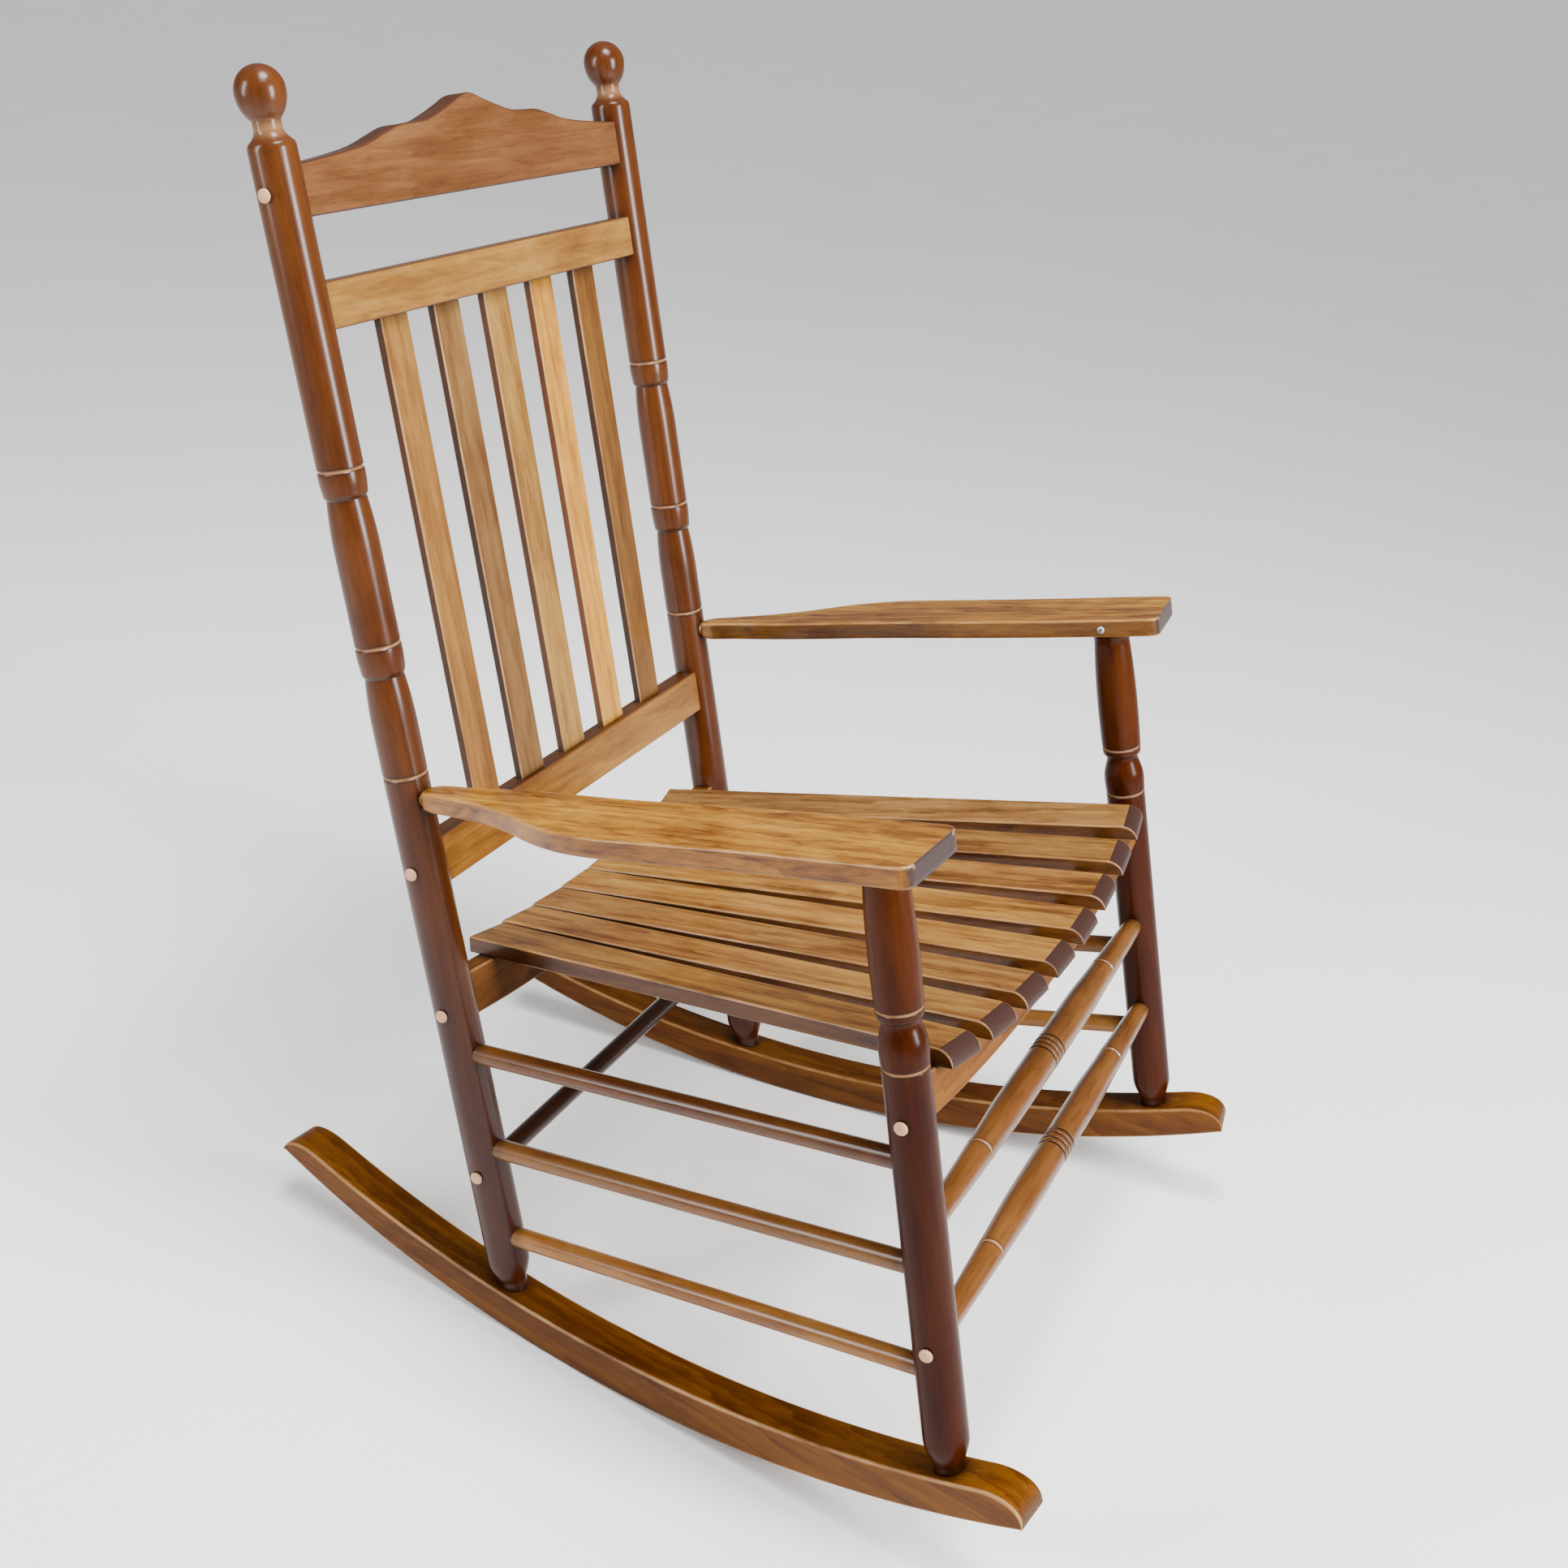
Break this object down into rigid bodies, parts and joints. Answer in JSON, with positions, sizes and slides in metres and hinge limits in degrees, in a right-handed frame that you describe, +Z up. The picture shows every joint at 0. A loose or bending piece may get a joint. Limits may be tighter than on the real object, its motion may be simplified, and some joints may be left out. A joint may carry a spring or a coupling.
{
  "type": "rocking chair",
  "caption": "High-back rocking chair with turned posts, a scrolled crest rail, a slatted back, a fanned slat seat, flat arms and rungs on two curved rockers.",
  "frame": {"origin": "on the floor, below the middle of the bounding box, in the plane of symmetry", "axes": "+Z up, -Y the way the sitter faces, +X the sitter's left"},
  "size_m": [0.6858, 0.8228, 1.0766],
  "materials": {
    "arm_wood": "stained, gloss varnish",
    "back_slat_wood": "stained, gloss varnish",
    "crest_wood": "stained, gloss varnish",
    "dark_rung_wood": "stained, gloss varnish",
    "plug_wood": "raw, unvarnished",
    "post_wood": "stained, gloss varnish",
    "rail_wood": "stained, gloss varnish",
    "rocker_wood": "stained, gloss varnish",
    "rung_wood": "stained, gloss varnish",
    "screw_steel": "zinc-plated steel",
    "seat_wood": "stained, gloss varnish"
  },
  "bodies": {
    "root": {"arm_left": "arm_wood", "arm_right": "arm_wood", "back_post_left": "post_wood", "back_post_right": "post_wood", "back_slat_1": "back_slat_wood", "back_slat_2": "back_slat_wood", "back_slat_3": "back_slat_wood", "back_slat_4": "back_slat_wood", "back_slat_5": "back_slat_wood", "crest_rail": "crest_wood", "front_post_left": "post_wood", "front_post_right": "post_wood", "front_rung_lower": "rung_wood", "front_rung_upper": "rung_wood", "front_seat_rail": "rail_wood", "lower_back_rail": "rail_wood", "plug_back_rail_left": "plug_wood", "plug_back_rail_right": "plug_wood", "plug_crest_left": "plug_wood", "plug_crest_right": "plug_wood", "plug_front_rung_left": "plug_wood", "plug_front_rung_right": "plug_wood", "plug_front_seat_rail_left": "plug_wood", "plug_front_seat_rail_right": "plug_wood", "plug_rear_seat_rail_left": "plug_wood", "plug_rear_seat_rail_right": "plug_wood", "plug_stretcher_left": "plug_wood", "plug_stretcher_right": "plug_wood", "rear_seat_rail": "rail_wood", "rear_stretcher": "dark_rung_wood", "rocker_left": "rocker_wood", "rocker_right": "rocker_wood", "screw_back_rail_left": "screw_steel", "screw_back_rail_right": "screw_steel", "screw_crest_left": "screw_steel", "screw_crest_right": "screw_steel", "screw_front_rung_left": "screw_steel", "screw_front_rung_right": "screw_steel", "screw_front_seat_rail_left": "screw_steel", "screw_front_seat_rail_right": "screw_steel", "screw_rear_seat_rail_left": "screw_steel", "screw_rear_seat_rail_right": "screw_steel", "screw_stretcher_left": "screw_steel", "screw_stretcher_right": "screw_steel", "seat_slat_1": "seat_wood", "seat_slat_2": "seat_wood", "seat_slat_3": "seat_wood", "seat_slat_4": "seat_wood", "seat_slat_5": "seat_wood", "seat_slat_6": "seat_wood", "seat_slat_7": "seat_wood", "seat_slat_8": "seat_wood", "side_rung_lower_left": "rung_wood", "side_rung_lower_right": "rung_wood", "side_rung_middle_left": "rung_wood", "side_rung_middle_right": "rung_wood", "side_rung_upper_left": "rung_wood", "side_rung_upper_right": "rung_wood", "upper_back_rail": "rail_wood"}
  },
  "joints": []
}
